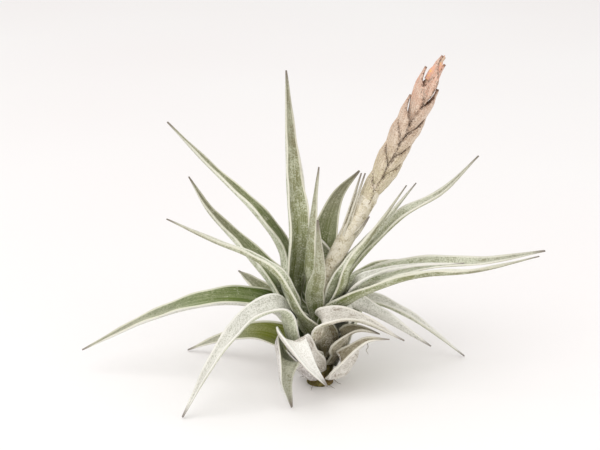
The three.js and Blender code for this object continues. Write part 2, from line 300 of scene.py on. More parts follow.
def addBump(tree, shader, height, distance, strength=1.0):
    bump = tree.nodes.new("ShaderNodeBump")
    bump.inputs["Strength"].default_value = strength
    bump.inputs["Distance"].default_value = distance
    feed(tree, bump.inputs["Height"], height)
    feed(tree, shader.inputs["Normal"], bump.outputs["Normal"])


# leaf finishes: colours at the root, in the middle and near the tip, the pale scales and stripes over them,
# the margin and its width, and how far the last part of the blade greys or is cracked
# the darker colours at the root are partly the leaf's own greener base and partly painted shade in the middle
# of the rosette
leafFinishes = {
    "shadeGreen": {
        "root": (72, 90, 26), "middle": (112, 124, 68), "tip": (152, 150, 122), "scale": (208, 208, 182),
        "cover": 0.32, "stripe": 0.3, "margin": (236, 234, 212), "edge": 0.38, "greying": 0.5},
    # partly painted shade: the green inner face of the channel, darkened as it lies in shade
    "deepShadeGreen": {
        "root": (60, 86, 8), "middle": (112, 130, 56), "tip": (194, 192, 174), "scale": (206, 208, 176),
        "cover": 0.27, "stripe": 0.3, "margin": (238, 237, 216), "edge": 0.4, "greying": 0.35},
    "yellowGreen": {
        "root": (84, 92, 4), "middle": (124, 132, 34), "tip": (206, 205, 190), "scale": (200, 198, 160),
        "cover": 0.2, "stripe": 0.2, "margin": (240, 238, 220), "edge": 0.45, "greying": 0.1},
    "oliveFelt": {
        "root": (98, 108, 48), "middle": (134, 138, 86), "tip": (150, 140, 114), "scale": (208, 210, 184),
        "cover": 0.46, "stripe": 0.36, "margin": (238, 235, 216), "edge": 0.4, "greying": 0.55},
    "silver": {
        "root": (122, 132, 86), "middle": (158, 163, 124), "tip": (172, 166, 144), "scale": (226, 228, 208),
        "cover": 0.54, "stripe": 0.42, "margin": (244, 242, 228), "edge": 0.42, "greying": 0.5},
    "paleFelt": {
        "root": (150, 152, 128), "middle": (198, 197, 184), "tip": (202, 198, 190), "scale": (239, 238, 229),
        "cover": 0.6, "stripe": 0.3, "margin": (247, 245, 236), "edge": 0.4, "greying": 0.1},
    "whiteFelt": {
        "root": (206, 202, 188), "middle": (232, 229, 218), "tip": (226, 221, 210), "scale": (250, 249, 243),
        "cover": 0.7, "stripe": 0.15, "margin": (250, 249, 242), "edge": 0.3, "greying": 0.05},
    "lavenderFelt": {
        "root": (168, 160, 154), "middle": (200, 194, 190), "tip": (206, 200, 195), "scale": (236, 232, 229),
        "cover": 0.58, "stripe": 0.26, "margin": (242, 240, 236), "edge": 0.35, "greying": 0.1, "cracks": 0.6},
    # partly painted shade: the olive scaly outer wall of a leaf, darker as it lies in shade below the leaf's
    # margin
    "scurfyOliveInShade": {
        "root": (122, 112, 78), "middle": (164, 156, 126), "tip": (176, 166, 148), "scale": (226, 220, 204),
        "cover": 0.5, "stripe": 0.24, "margin": (240, 237, 222), "edge": 0.5, "greying": 0.25, "cracks": 0.6},
    "shadedOlive": {
        "root": (110, 99, 66), "middle": (142, 130, 98), "tip": (170, 158, 136), "scale": (206, 198, 176),
        "cover": 0.46, "stripe": 0.2, "margin": (242, 238, 224), "edge": 0.5, "greying": 0.25, "cracks": 0.6},
    "pinkGrey": {
        "root": (176, 168, 152), "middle": (210, 204, 194), "tip": (204, 196, 186), "scale": (240, 236, 228),
        "cover": 0.52, "stripe": 0.28, "margin": (247, 243, 232), "edge": 0.5, "greying": 0.15, "cracks": 0.6},
    "fadedGrey": {
        "root": (150, 144, 116), "middle": (172, 164, 140), "tip": (150, 136, 120), "scale": (226, 220, 204),
        "cover": 0.5, "stripe": 0.4, "margin": (226, 220, 204), "edge": 0.2, "greying": 0.5},
}
dryTip = {"colour": (112, 98, 90), "length": 4.5, "share": 0.8, "grey": (120, 114, 92), "greyLength": 26.0}

# how strongly each layer of a leaf's skin shows over the ones below, the shares of the length between
# which the tones blend, and the noises, whose scales are cells per metre
leafSkin = {
    "lowerBlend": (0.05, 0.4), "upperBlend": (0.35, 0.85), "greyBlend": (0.4, 0.8),
    "furrows": 0.45, "scales": 0.8, "extraTipCover": 0.16, "margin": 0.85,
    "grain": {"scale": 3000.0, "rough": 0.6, "from": 0.49, "to": 0.62}, "grainShare": 0.46,
    "patches": {"scale": 130.0, "detail": 3.0, "from": 0.35, "to": 0.7}, "patchShare": 0.14,
    "patchColour": (120, 116, 90),
    "crackColour": (112, 88, 58), "crackLines": 0.8, "crackWaver": 0.14, "crackWidth": (0.1, 0.5),
    "crackBreaks": {"scale": 230.0, "from": 0.45, "to": 0.58},
    "scaleHeight": 0.5, "ribHeight": 0.35, "bump": 0.00022, "bumpStrength": 0.8,
}


def addCracks(tree, where, base, share):
    # broken brown lines where two broad stripes meet
    broad = useGroup(tree, "stripes", Lines_per_mm=leafSkin["crackLines"], Waver=leafSkin["crackWaver"])
    fromMeeting = calculate(tree, "ABSOLUTE", minus(tree, times(tree, broad["Ribs"], 2.0), 1.0))
    line = minus(tree, 1.0, rampBetween(tree, *leafSkin["crackWidth"], fromMeeting))
    kept = times(tree, spots(tree, where, leafSkin["crackBreaks"]), share)
    return blendColour(tree, times(tree, line, kept), base, leafSkin["crackColour"])


def makeLeafFinish(name, look):
    material, tree, shader = newMaterial(name, roughness=0.82, sheen=0.12)
    where = objectPlace(tree)
    reach = useGroup(tree, "reach", Tip_mm=dryTip["length"])
    along = reach["Along"]
    # the root colour fades into the middle one: partly the greener base of the leaf, partly painted shade in
    # the middle of the rosette
    lower = rampBetween(tree, *leafSkin["lowerBlend"], along)
    upper = rampBetween(tree, *leafSkin["upperBlend"], along)
    base = blendColour(tree, lower, look["root"], look["middle"])
    base = blendColour(tree, upper, base, look["tip"])
    # dark furrows between the ribs, then the scales, thicker towards the tip
    ribs = useGroup(tree, "stripes")["Ribs"]
    furrows = times(tree, minus(tree, 1.0, ribs), look["stripe"] * leafSkin["furrows"])
    base = blendColour(tree, furrows, base, look["root"])
    cover = plus(tree, times(tree, along, leafSkin["extraTipCover"]), look["cover"])
    scurf = useGroup(tree, "scurf", Cover=cover)
    striped = times(tree, ribs, look["stripe"])
    scaled = plus(tree, times(tree, scurf["Scales"], leafSkin["scales"]), striped, clamp=True)
    base = blendColour(tree, scaled, base, look["scale"])
    grain = times(tree, spots(tree, where, leafSkin["grain"]), leafSkin["grainShare"])
    base = blendColour(tree, grain, base, look["root"])
    patches = times(tree, spots(tree, where, leafSkin["patches"]), leafSkin["patchShare"])
    base = blendColour(tree, patches, base, leafSkin["patchColour"])
    # the last part of the blade greys, its pale margin too, before the dry tip
    nearTip = useGroup(tree, "reach", Tip_mm=dryTip["greyLength"])["Tip"]
    greying = times(tree, nearTip, rampBetween(tree, *leafSkin["greyBlend"], along))
    greying = times(tree, greying, look["greying"])
    base = blendColour(tree, greying, base, dryTip["grey"])
    if "cracks" in look:
        base = addCracks(tree, where, base, look["cracks"])
    margin = useGroup(tree, "margin", Width_mm=look["edge"])["Margin"]
    margin = times(tree, margin, minus(tree, leafSkin["margin"], greying))
    base = blendColour(tree, margin, base, look["margin"])
    base = blendColour(tree, times(tree, reach["Tip"], dryTip["share"]), base, dryTip["colour"])
    feed(tree, shader.inputs["Base Color"], base)
    ribHeight = times(tree, ribs, leafSkin["ribHeight"])
    height = plus(tree, times(tree, scurf["Height"], leafSkin["scaleHeight"]), ribHeight)
    addBump(tree, shader, height, leafSkin["bump"], leafSkin["bumpStrength"])
    return material


finishes = {name: makeLeafFinish(name, look) for name, look in leafFinishes.items()}
print("leaf finishes made:", len(finishes))

# the stem's profile as height and radius, with its colours
stem = {
    "profile": [(0, 3.6), (3, 3.5), (8, 3.3), (14, 2.9), (19, 2.4), (24, 1.9)],
    "dark": (78, 70, 30), "dry": (138, 126, 74), "rust": (92, 52, 28), "scale": (196, 188, 150),
    "dryFibres": {"scale": 900.0, "detail": 4.0, "from": 0.35, "to": 0.65},
    "rustSpots": {"scale": 320.0, "from": 0.5, "to": 0.7},
    "scaleShare": 0.35, "bump": 0.0004, "dent": 0.16, "shrink": 0.08, "dentsAround": 5, "dentsAlong": 0.5,
    "flatMiddle": 0.5, "footEdge": 0.2, "around": 72, "cuts": 7, "merge": 0.0005,
}

# what all leaves share: widths, half angles of the channel, the mesh, waves, and how thin edges and tips
# are; pairs are distances from the root between which the change takes place
blade = {
    "thickness": 0.65, "seat": 0.3, "tipWidth": 0.5, "clasp": 0.55, "fullWidth": 9,
    "freed": (5.85, 13), "turned": (4, 16), "cup": 70, "tipCup": 72, "tightest": 0.15, "leastWrap": 2.5,
    "sinkShare": 0.5, "across": 16, "step": 0.9, "fewest": 24,
    "wave": 0.15, "waveRate": 0.55, "waved": (6, 16), "waveEdge": 0.55, "wavyHalf": 3,
    "unevenness": 0.12, "uneven": (4, 12), "hillsAlong": 0.12, "hillsAcross": 1.5,
    "edgeThinning": 0.55, "edgeStart": 0.6, "tipThickness": 0.35, "tipReach": 14, "thinnest": 0.1,
}

# one row for each leaf: root height and bearing, rise and length of the sheath, width, the distance at which
# the blade starts to taper where it isn't the usual one, its turn if it has one, the points that its middle
# passes through, the finish of its upper and lower face, and its slot
leaves = {
    "leaf_tall": {
        "root": 19, "bearing": 170, "rise": 51, "sheath": 6.5, "width": 8.8, "full": 32, "turn": -40,
        "path": [(-6, 0.5, 42.3), (-7.5, 10.5, 57.7), (-9, 14, 82.5)],
        "upper": "oliveFelt", "lower": "silver", "slot": "leaf_silver"},
    "leaf_tall_behind": {
        "root": 22.5, "bearing": 75, "rise": 74, "sheath": 12, "width": 6, "turn": -20,
        "path": [(-4, 6, 42.8), (-5.5, 14.5, 55.1), (-8, 18.5, 69)],
        "upper": "silver", "lower": "paleFelt", "slot": "leaf_silver"},
    "leaf_upper_left": {
        "root": 16, "bearing": 152, "rise": 52, "sheath": 10, "width": 10.5, "full": 14, "turn": 22,
        "path": [(-9.5, 6.5, 35.3), (-16.5, 5, 46.9), (-28, 11, 56.5), (-40.5, 16, 68)],
        "upper": "shadeGreen", "lower": "silver", "slot": "leaf_green"},
    "leaf_back_left": {
        "root": 14.5, "bearing": 150, "rise": 47, "sheath": 10, "width": 12, "full": 16, "turn": 4,
        "path": [(-12.5, 6.5, 27.7), (-21.5, 16, 34.1), (-30, 21, 41.5), (-36, 26, 49.5)],
        "upper": "shadeGreen", "lower": "silver", "slot": "leaf_green"},
    "leaf_front_left": {
        "root": 13, "bearing": 238, "rise": 57, "sheath": 7.5, "width": 9, "turn": -54,
        "path": [(-10, -8.5, 33.7), (-18, -4, 38), (-27.5, -2.5, 41.5), (-40, 0, 46.5)],
        "upper": "silver", "lower": "oliveFelt", "slot": "leaf_silver"},
    "leaf_long_left": {
        "root": 9, "bearing": 132, "rise": 47, "sheath": 8, "width": 13, "turn": 34,
        "path": [(-15.5, 3, 22.2), (-28.5, -1, 24.5), (-45.5, 2, 18), (-64.5, 5, 7)],
        "upper": "deepShadeGreen", "lower": "paleFelt", "slot": "leaf_green"},
    "leaf_short_back_left": {
        "root": 7, "bearing": 125, "rise": 45, "sheath": 8, "width": 11,
        "path": [(-17, 19, 19.8), (-23, 34, 18.5)],
        "upper": "shadeGreen", "lower": "silver", "slot": "leaf_green"},
    "leaf_drooping_front": {
        "root": 6, "bearing": 233, "rise": 56, "sheath": 14, "width": 12.5, "turn": -40,
        "path": [(-10, -12.5, 27.4), (-17.5, -15.5, 26.5), (-23.5, -18.5, 21), (-29, -20.5, 13),
                 (-35.5, -22, 0.5)],
        "upper": "paleFelt", "lower": "silver", "slot": "leaf_pale"},
    "leaf_low_left": {
        "root": 4, "bearing": 133, "rise": 53, "sheath": 4.5, "width": 10.5, "turn": -15,
        "path": [(-16, 10, 10.1), (-27, 15, 6), (-37, 19, 0.5)],
        "upper": "yellowGreen", "lower": "lavenderFelt", "slot": "leaf_green"},
    "leaf_low_front": {
        "root": 2, "bearing": 222, "rise": 48, "sheath": 7.5, "width": 13.5, "full": 15, "turn": -15,
        "path": [(-9, -12, 14), (-9, -16.5, 12.4), (-9, -16.5, 7), (-7.5, -16.5, 0.5)],
        "upper": "silver", "lower": "lavenderFelt", "slot": "leaf_silver"},
    "leaf_curled_front": {
        "root": 4.5, "bearing": 245, "rise": 46, "sheath": 8.5, "width": 11.5, "full": 20,
        "path": [(-7.2, -14.3, 19.2), (-7.7, -17.3, 20.6), (-5.2, -19.6, 17.4), (-2.1, -20, 12.9),
                 (1.6, -19, 7.7)],
        "upper": "whiteFelt", "lower": "pinkGrey", "slot": "leaf_pale"},
    "leaf_low_right": {
        "root": 8.5, "bearing": 274, "rise": 64, "sheath": 4.5, "width": 12, "turn": 80,
        "path": [(-0.8, -11.4, 21.9), (1.9, -12.1, 24), (6.5, -10.32, 23.8), (12, -8.76, 21.5),
                 (21.9, -7, 15.2)],
        "upper": "pinkGrey", "lower": "scurfyOliveInShade", "slot": "leaf_silver"},
    "leaf_old_right": {
        "root": 2, "bearing": 328, "rise": 46, "sheath": 8.5, "width": 10.6, "full": 13, "turn": 45,
        "path": [(4.2, -9.2, 8.9), (7, -11.6, 13.4), (9.8, -11.8, 16), (12.6, -11.2, 17.3),
                 (17.8, -10, 16.9)],
        "upper": "shadedOlive", "lower": "pinkGrey", "slot": "leaf_pale"},
    "leaf_old_right_upper": {
        "root": 6.5, "bearing": 325, "rise": 58, "sheath": 6, "width": 8.3, "full": 12, "turn": 40,
        "path": [(4.8, -6.8, 14.9), (7.2, -7.6, 18.1), (10.5, -7, 18.5), (15.5, -6.3, 16.7)],
        "upper": "shadedOlive", "lower": "scurfyOliveInShade", "slot": "leaf_pale"},
    "leaf_arched_right": {
        "root": 12, "bearing": 15, "rise": 51, "sheath": 7.5, "width": 9.5, "turn": -35,
        "path": [(7.5, 2.5, 22.5), (16.5, 4.5, 17.5), (30, 4, 8.5)],
        "upper": "whiteFelt", "lower": "paleFelt", "slot": "leaf_pale"},
    "leaf_back_right": {
        "root": 4, "bearing": 35, "rise": 60, "sheath": 5, "width": 9,
        "path": [(12, 10.5, 19), (25, 12, 14), (40.5, 15, 0.5)],
        "upper": "paleFelt", "lower": "silver", "slot": "leaf_silver"},
    "leaf_long_right_lower": {
        "root": 16, "bearing": 300, "rise": 71, "sheath": 3, "width": 8.5, "turn": 30,
        "path": [(7.5, -5.5, 26.5), (17, -9, 32.45), (26.5, -8, 34.5), (39.5, -9.5, 36), (55.5, -10, 40)],
        "upper": "silver", "lower": "oliveFelt", "slot": "leaf_green"},
    "leaf_long_right_upper": {
        "root": 15.5, "bearing": 45, "rise": 52, "sheath": 7, "width": 9.5,
        "path": [(8, 3.5, 25.4), (18.5, 8.5, 28.3), (30, 11, 30), (45.5, 14, 29.5), (61.5, 16, 31.5)],
        "upper": "silver", "lower": "oliveFelt", "slot": "leaf_green"},
    "leaf_right_between": {
        "root": 18, "bearing": 335, "rise": 61, "sheath": 10, "width": 5.5, "turn": 20,
        "path": [(11.5, -7.5, 33.5), (24, 1.5, 33), (38, 3, 33)],
        "upper": "paleFelt", "lower": "paleFelt", "slot": "leaf_pale"},
    "leaf_rising_right": {
        "root": 19, "bearing": 60, "rise": 61, "sheath": 5, "width": 8.9, "turn": -35,
        "path": [(9, 5.5, 33.1), (21, 4, 46.2), (32, 9, 51), (41.5, 10, 60.5)],
        "upper": "silver", "lower": "oliveFelt", "slot": "leaf_green"},
    "leaf_slender_right_back": {
        "root": 22.5, "bearing": -35, "rise": 71, "sheath": 7.5, "width": 6.5, "turn": 10,
        "path": [(8, 1, 34.9), (17, 2, 45.8), (25, 7, 54)],
        "upper": "silver", "lower": "silver", "slot": "leaf_silver"},
    "leaf_slender_right_front": {
        "root": 21, "bearing": 327, "rise": 58, "sheath": 7.5, "width": 7.3, "turn": 25,
        "path": [(6.5, -7, 35.6), (11.3, -3.5, 41.5), (16.4, -1.5, 47.9), (22, 0, 55.7)],
        "upper": "silver", "lower": "oliveFelt", "slot": "leaf_silver"},
    "leaf_inner_back": {
        "root": 20.5, "bearing": 80, "rise": 67, "sheath": 7, "width": 11, "full": 14,
        "path": [(1, 8, 37.5), (4.5, 15, 47.1), (10.5, 16, 54.5)],
        "upper": "shadeGreen", "lower": "oliveFelt", "slot": "leaf_green"},
    "leaf_inner_narrow": {
        "root": 21.5, "bearing": 195, "rise": 82, "sheath": 5.5, "width": 6.8, "full": 14,
        "path": [(-2, -2, 47.1), (-0.5, 5, 59)],
        "upper": "oliveFelt", "lower": "oliveFelt", "slot": "leaf_green"},
    "leaf_inner_front": {
        "root": 18.5, "bearing": 255, "rise": 69, "sheath": 10, "width": 5.4, "full": 14,
        "path": [(-0.5, -12.5, 37.3), (-1, -12, 50.5)],
        "upper": "silver", "lower": "oliveFelt", "slot": "leaf_silver"},
    "leaf_rear_middle": {
        "root": 12, "bearing": 106, "rise": 45, "sheath": 8, "width": 8,
        "path": [(-4, 14.5, 25.4), (-6.5, 27, 28.5), (-9, 44, 18)],
        "upper": "shadeGreen", "lower": "silver", "slot": "leaf_green"},
    "leaf_rear_right": {
        "root": 8, "bearing": 40, "rise": 57, "sheath": 6, "width": 8.5,
        "path": [(9, 14, 23), (19, 26, 24.5), (28, 40, 17)],
        "upper": "shadeGreen", "lower": "silver", "slot": "leaf_green"},
    "leaf_rear_upper_right": {
        "root": 14, "bearing": 67, "rise": 47, "sheath": 4.5, "width": 7.2,
        "path": [(4, 13, 28), (7, 18, 33.4), (8, 30, 31.5)],
        "upper": "shadeGreen", "lower": "silver", "slot": "leaf_green"},
    "leaf_rear_upper_left": {
        "root": 17.5, "bearing": 78, "rise": 58, "sheath": 10, "width": 7.2,
        "path": [(-3.5, 10, 30.8), (-4.5, 17, 37.4), (-6, 31, 37)],
        "upper": "shadeGreen", "lower": "silver", "slot": "leaf_green"},
    "leaf_rear_low": {
        "root": 2, "bearing": 70, "rise": 52, "sheath": 7, "width": 8.5,
        "path": [(-3, 16, 14.6), (-5, 25, 9), (-6, 33, 0.5)],
        "upper": "paleFelt", "lower": "lavenderFelt", "slot": "leaf_pale"},
}


class SmoothLine:
    # an even-paced smooth line through a few points
    samplesPerStretch = 60
    nearby = 0.004

    def __init__(self, points):
        points = [Vector(p) for p in points]
        ends = [points[0] * 2 - points[1]] + points + [points[-1] * 2 - points[-2]]
        self.samples = []
        for i in range(len(points) - 1):
            a, b, c, d = ends[i:i + 4]
            for k in range(self.samplesPerStretch):
                t = k / self.samplesPerStretch
                bend = (2 * a - 5 * b + 4 * c - d) * t * t + (3 * b - a - 3 * c + d) * t ** 3
                self.samples.append(0.5 * ((2 * b) + (c - a) * t + bend))
        self.samples.append(points[-1].copy())
        self.lengths = [0.0]
        for p, q in zip(self.samples, self.samples[1:]):
            self.lengths.append(self.lengths[-1] + (q - p).length)
        self.length = self.lengths[-1]

    def point(self, share):
        target = min(1, max(0, share)) * self.length
        low = 0
        high = len(self.lengths) - 1
        while high - low > 1:
            middle = (low + high) // 2
            if self.lengths[middle] <= target:
                low = middle
            else:
                high = middle
        span = self.lengths[high] - self.lengths[low]
        part = (target - self.lengths[low]) / span if span else 0
        return self.samples[low].lerp(self.samples[high], part)

    def direction(self, share):
        return (self.point(share + self.nearby) - self.point(share - self.nearby)).normalized()


def finishPiece(bm, name, materials, nodes, thickness=None):
    # from millimetres to a placed object that rides on the root body
    bmesh.ops.scale(bm, vec=(mm, mm, mm), verts=bm.verts)
    mesh = bpy.data.meshes.new(name)
    bm.to_mesh(mesh)
    bm.free()
    for material in materials:
        mesh.materials.append(material)
    mesh.polygons.foreach_set("use_smooth", [True] * len(mesh.polygons))
    piece = bpy.data.objects.new(name, mesh)
    bpy.context.scene.collection.objects.link(piece)
    if thickness:
        shell = piece.modifiers.new("shell", "SOLIDIFY")
        shell.thickness = thickness * mm
        shell.offset = 0
        if len(materials) > 1:
            shell.material_offset = 1
    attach(piece, "root")
    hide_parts(*nodes)
    return piece


def newStrip(count, across):
    # a flat grid to be bent into a blade, with a layer for each of the blade's attributes
    bm = bmesh.new()
    bmesh.ops.create_grid(bm, x_segments=count, y_segments=across, size=1)
    for name in bladeValues:
        bm.verts.layers.float_vector.new(name)
    return bm, [bm.verts.layers.float_vector[name] for name in bladeValues]


def gridPlace(vert):
    # the share along the blade, and the place across it from -1 to 1
    return (vert.co.x + 1) / 2, -vert.co.y


def markBlade(vert, layers, share, length, across, half):
    distance = share * length
    vert[layers[0]] = Vector((distance, across * half, half))
    vert[layers[1]] = Vector((distance, length - distance, share))


def leafLine(row):
    # the middle line of a leaf, and the direction of its upper face at the root
    bearing = math.radians(row["bearing"])
    rise = math.radians(row["rise"])
    out = Vector((math.cos(bearing), math.sin(bearing), 0))
    up = Vector((0, 0, 1))
    radius = mixAlong(stem["profile"], row["root"])
    root = out * (radius + blade["seat"] + blade["thickness"] / 2) + up * row["root"]
    sheathEnd = root + (out * math.cos(rise) + up * math.sin(rise)) * row["sheath"]
    return SmoothLine([root, sheathEnd] + row["path"]), -out * math.sin(rise) + up * math.cos(rise)


def leafWidth(row, distance, length):
    if distance < blade["fullWidth"]:
        return row["width"] * mix(blade["clasp"], 1, smooth(-3, blade["fullWidth"], distance))
    full = row.get("full", blade["fullWidth"])
    return mix(row["width"], blade["tipWidth"], max(0, (distance - full) / (length - full)))


def leafStations(row, count):
    # the cross sections of a leaf: near the root they curve round the stem, further out they are channelled
    line, normal = leafLine(row)
    stations = []
    for i in range(count + 1):
        s = i / count
        centre = line.point(s)
        along = line.direction(s)
        normal = (normal - along * normal.dot(along)).normalized()
        distance = s * line.length
        turn = math.radians(row.get("turn", 0)) * smooth(*blade["turned"], distance)
        face = Quaternion(along, turn) @ normal
        half = leafWidth(row, distance, line.length) / 2
        free = smooth(*blade["freed"], distance)
        wrapped = half / max(blade["leastWrap"], math.hypot(centre.x, centre.y))
        cup = math.radians(mix(blade["cup"], blade["tipCup"], s))
        angle = min(mix(wrapped, cup, free), half / (blade["thickness"] / 2 + blade["tightest"]))
        radius = half / angle
        sink = blade["sinkShare"] * radius * (1 - math.cos(angle)) * free
        stations.append({"centre": centre, "face": face, "side": along.cross(face), "half": half,
                         "angle": angle, "radius": radius, "sink": sink, "distance": distance})
    return stations, line.length


def makeLeaf(name, row, number):
    roughLength = SmoothLine([(0, 0, row["root"])] + row["path"]).length
    count = max(blade["fewest"], round(roughLength / blade["step"]))
    stations, length = leafStations(row, count)
    bm, layers = newStrip(count, blade["across"])
    for vert in bm.verts:
        s, t = gridPlace(vert)
        i = round(s * count)
        at = stations[i]
        angle = at["angle"] * t
        # slight waves of the margins and an uneven surface, as dried thin edges have
        edge = smooth(blade["waveEdge"], 1, abs(t)) * smooth(*blade["waved"], at["distance"])
        beat = math.sin(at["distance"] * blade["waveRate"] + number * 3 + (2 if t > 0 else 0))
        wave = blade["wave"] * edge * beat * min(1, at["half"] / blade["wavyHalf"])
        place = Vector((at["distance"] * blade["hillsAlong"], t * blade["hillsAcross"], number * 7.3))
        uneven = blade["unevenness"] * noise.noise(place) * smooth(*blade["uneven"], at["distance"])
        lift = at["radius"] * (1 - math.cos(angle)) - at["sink"] + wave + uneven
        vert.co = at["centre"] + at["side"] * (at["radius"] * math.sin(angle)) + at["face"] * lift
        markBlade(vert, layers, i / count, length, t, at["half"])
    faces = [finishes[row["upper"]], finishes[row["lower"]]]
    piece = finishPiece(bm, name.replace("leaf_", "blade_"), faces, [name], blade["thickness"])
    thinEdges(piece)


def thinEdges(piece):
    # a blade is thinner towards its edges and its tip
    thin = piece.vertex_groups.new(name="thin")
    for i in range(len(piece.data.vertices)):
        _, offset, half = piece.data.attributes["blade"].data[i].vector
        left = piece.data.attributes["reach"].data[i].vector[1]
        inner = 1 - blade["edgeThinning"] * smooth(blade["edgeStart"], 1, abs(offset) / half)
        thin.add([i], inner * mix(blade["tipThickness"], 1, smooth(0, blade["tipReach"], left)), "REPLACE")
    piece.modifiers["shell"].vertex_group = "thin"
    piece.modifiers["shell"].thickness_vertex_group = blade["thinnest"]


for number, (name, row) in enumerate(leaves.items()):
    makeLeaf(name, row, number)
print("leaves made:", len(leaves))

# the flower stalk, and the colours and finish of the spike: radii are rows of share along the line and
# radius, and pairs named as ends are the heights in metres between which two colours blend
spike = {
    "line": [(0, 0, 24.8), (2.5, 0.5, 32.5), (8.5, 2.5, 44), (12, 3.5, 50),
             (17, 4.5, 59.5), (23.5, 6, 72), (29, 7.5, 84), (31.5, 8, 87.5)],
    "radii": [(0, 1.5), (0.12, 2.1), (0.3, 2.4), (0.42, 2.2), (0.52, 1.5), (0.9, 1.1), (1, 0.35)],
    "around": 24, "rings": 90, "ridges": 0.03, "nodeRing": 0.1, "nodeRingAt": 29, "nodeRingWidth": 0.5,
    "stalkColour": (226, 216, 192), "stalkShade": (178, 164, 130), "stalkPale": (246, 240, 226),
    "stalkShadows": {"scale": 700.0, "detail": 3.0, "from": 0.42, "to": 0.7},
    "stalkScales": 0.7, "stalkBump": 0.0002, "stalkEnds": (0.053, 0.058),
    "bractLow": (206, 197, 162), "bractMiddle": (208, 180, 156), "bractHigh": (226, 170, 146),
    "lowEnds": (0.054, 0.072), "middleEnds": (0.07, 0.087),
    "bractPale": (244, 230, 212), "bractDark": (134, 102, 76), "bractEdge": (92, 64, 44),
    "wear": {"scale": 2600.0, "detail": 3.0, "rough": 0.7, "from": 0.48, "to": 0.62},
    # dark worn specks all over the bracts, with more along their edges as painted shade where the next bract
    # overlaps
    "wearAndShadeShare": 0.4, "extraEdgeShade": 0.4, "edgeShadeWidth": 1.5,
    "edgeBreaks": {"scale": 1700.0, "detail": 3.0, "rough": 0.7, "from": 0.42, "to": 0.6},
    "edgeShare": 0.8, "edgeWidth": 0.42, "tipLength": 1.2, "tipShare": 0.35,
    "scaleShare": 0.36, "ribShare": 0.16, "scaleHeight": 0.6, "ribHeight": 0.5, "bractBump": 0.00028,
}
spikeLine = SmoothLine(spike["line"])


def makeStalkFinish():
    # cream felt on the stalk, the colour of the bracts where it runs between them
    material, tree, shader = newMaterial("stalkFelt", roughness=0.85, sheen=0.1)
    scurf = useGroup(tree, "scurf", Cover=0.6, Grain=2400.0)
    where = objectPlace(tree)
    height = splitVector(tree, where)[2]
    shadows = spots(tree, where, spike["stalkShadows"])
    base = blendColour(tree, shadows, spike["stalkColour"], spike["stalkShade"])
    base = blendColour(tree, times(tree, scurf["Scales"], spike["stalkScales"]), base, spike["stalkPale"])
    base = blendColour(tree, rampBetween(tree, *spike["stalkEnds"], height), base, spike["bractMiddle"])
    feed(tree, shader.inputs["Base Color"], base)
    addBump(tree, shader, scurf["Height"], spike["stalkBump"], strength=0.8)
    return material


def makeBractFinish():
    material, tree, shader = newMaterial("bractFelt", roughness=0.8, sheen=0.12)
    where = objectPlace(tree)
    height = splitVector(tree, where)[2]
    rising = rampBetween(tree, *spike["lowEnds"], height)
    base = blendColour(tree, rising, spike["bractLow"], spike["bractMiddle"])
    base = blendColour(tree, rampBetween(tree, *spike["middleEnds"], height), base, spike["bractHigh"])
    # grey felt in fine lines and specks over the colour, with dark specks: worn ones all over, and more in a
    # band along the edges that is painted shade where the bracts overlap
    scurf = useGroup(tree, "scurf", Cover=0.56, Grain=2500.0)
    ribs = useGroup(tree, "stripes", Lines_per_mm=2.6)["Ribs"]
    nearEdge = useGroup(tree, "margin", Width_mm=spike["edgeShadeWidth"])["Margin"]
    wearAndShadeShare = plus(tree, times(tree, nearEdge, spike["extraEdgeShade"]), spike["wearAndShadeShare"])
    wornAndShaded = times(tree, spots(tree, where, spike["wear"]), wearAndShadeShare)
    base = blendColour(tree, wornAndShaded, base, spike["bractDark"])
    ribbed = times(tree, ribs, spike["ribShare"])
    pale = plus(tree, times(tree, scurf["Scales"], spike["scaleShare"]), ribbed, clamp=True)
    base = blendColour(tree, pale, base, spike["bractPale"])
    margin = useGroup(tree, "margin", Width_mm=spike["edgeWidth"])["Margin"]
    broken = times(tree, spots(tree, where, spike["edgeBreaks"]), spike["edgeShare"])
    base = blendColour(tree, times(tree, margin, broken), base, spike["bractEdge"])
    reach = useGroup(tree, "reach", Tip_mm=spike["tipLength"])
    base = blendColour(tree, times(tree, reach["Tip"], spike["tipShare"]), base, spike["bractEdge"])
    feed(tree, shader.inputs["Base Color"], base)
    ribHeight = times(tree, ribs, spike["ribHeight"])
    bumps = plus(tree, times(tree, scurf["Height"], spike["scaleHeight"]), ribHeight)
    addBump(tree, shader, bumps, spike["bractBump"], strength=0.9)
    return material


stalkFinish = makeStalkFinish()
bractFinish = makeBractFinish()


def crossDirection(along):
    # square to a line and to +Y, as the two ranks of bracts lie
    return along.cross(Vector((0, 1, 0))).normalized()


def makeRod(line, radiusAt, around, count):
    # a capped rod of changing radius along a smooth line
    bm = bmesh.new()
    bmesh.ops.create_cone(bm, segments=around, radius1=1, radius2=1, depth=2, cap_ends=True)
    sides = [edge for edge in bm.edges if abs(edge.verts[0].co.z - edge.verts[1].co.z) > 1]
    bmesh.ops.subdivide_edges(bm, edges=sides, cuts=count - 1, use_grid_fill=True)
    for vert in bm.verts:
        share = (vert.co.z + 1) / 2
        along = line.direction(share)
        left = crossDirection(along)
        back = left.cross(along)
        radius = radiusAt(share, vert.co.x, vert.co.y)
        vert.co = line.point(share) + (left * vert.co.x + back * vert.co.y) * radius
    bmesh.ops.recalc_face_normals(bm, faces=bm.faces)
    return bm


def makeStalk():
    def radiusAt(share, x, y):
        ridge = 1 + spike["ridges"] * noise.noise(Vector((x * 3, y * 3, share * 14)))
        fromRing = (share * spikeLine.length - spike["nodeRingAt"]) / spike["nodeRingWidth"]
        ring = 1 + spike["nodeRing"] * math.exp(-fromRing ** 2)
        return mixAlong(spike["radii"], share) * ridge * ring
    bm = makeRod(spikeLine, radiusAt, spike["around"], spike["rings"])
    finishPiece(bm, "flower_stalk", [stalkFinish], ["flower_spike"])


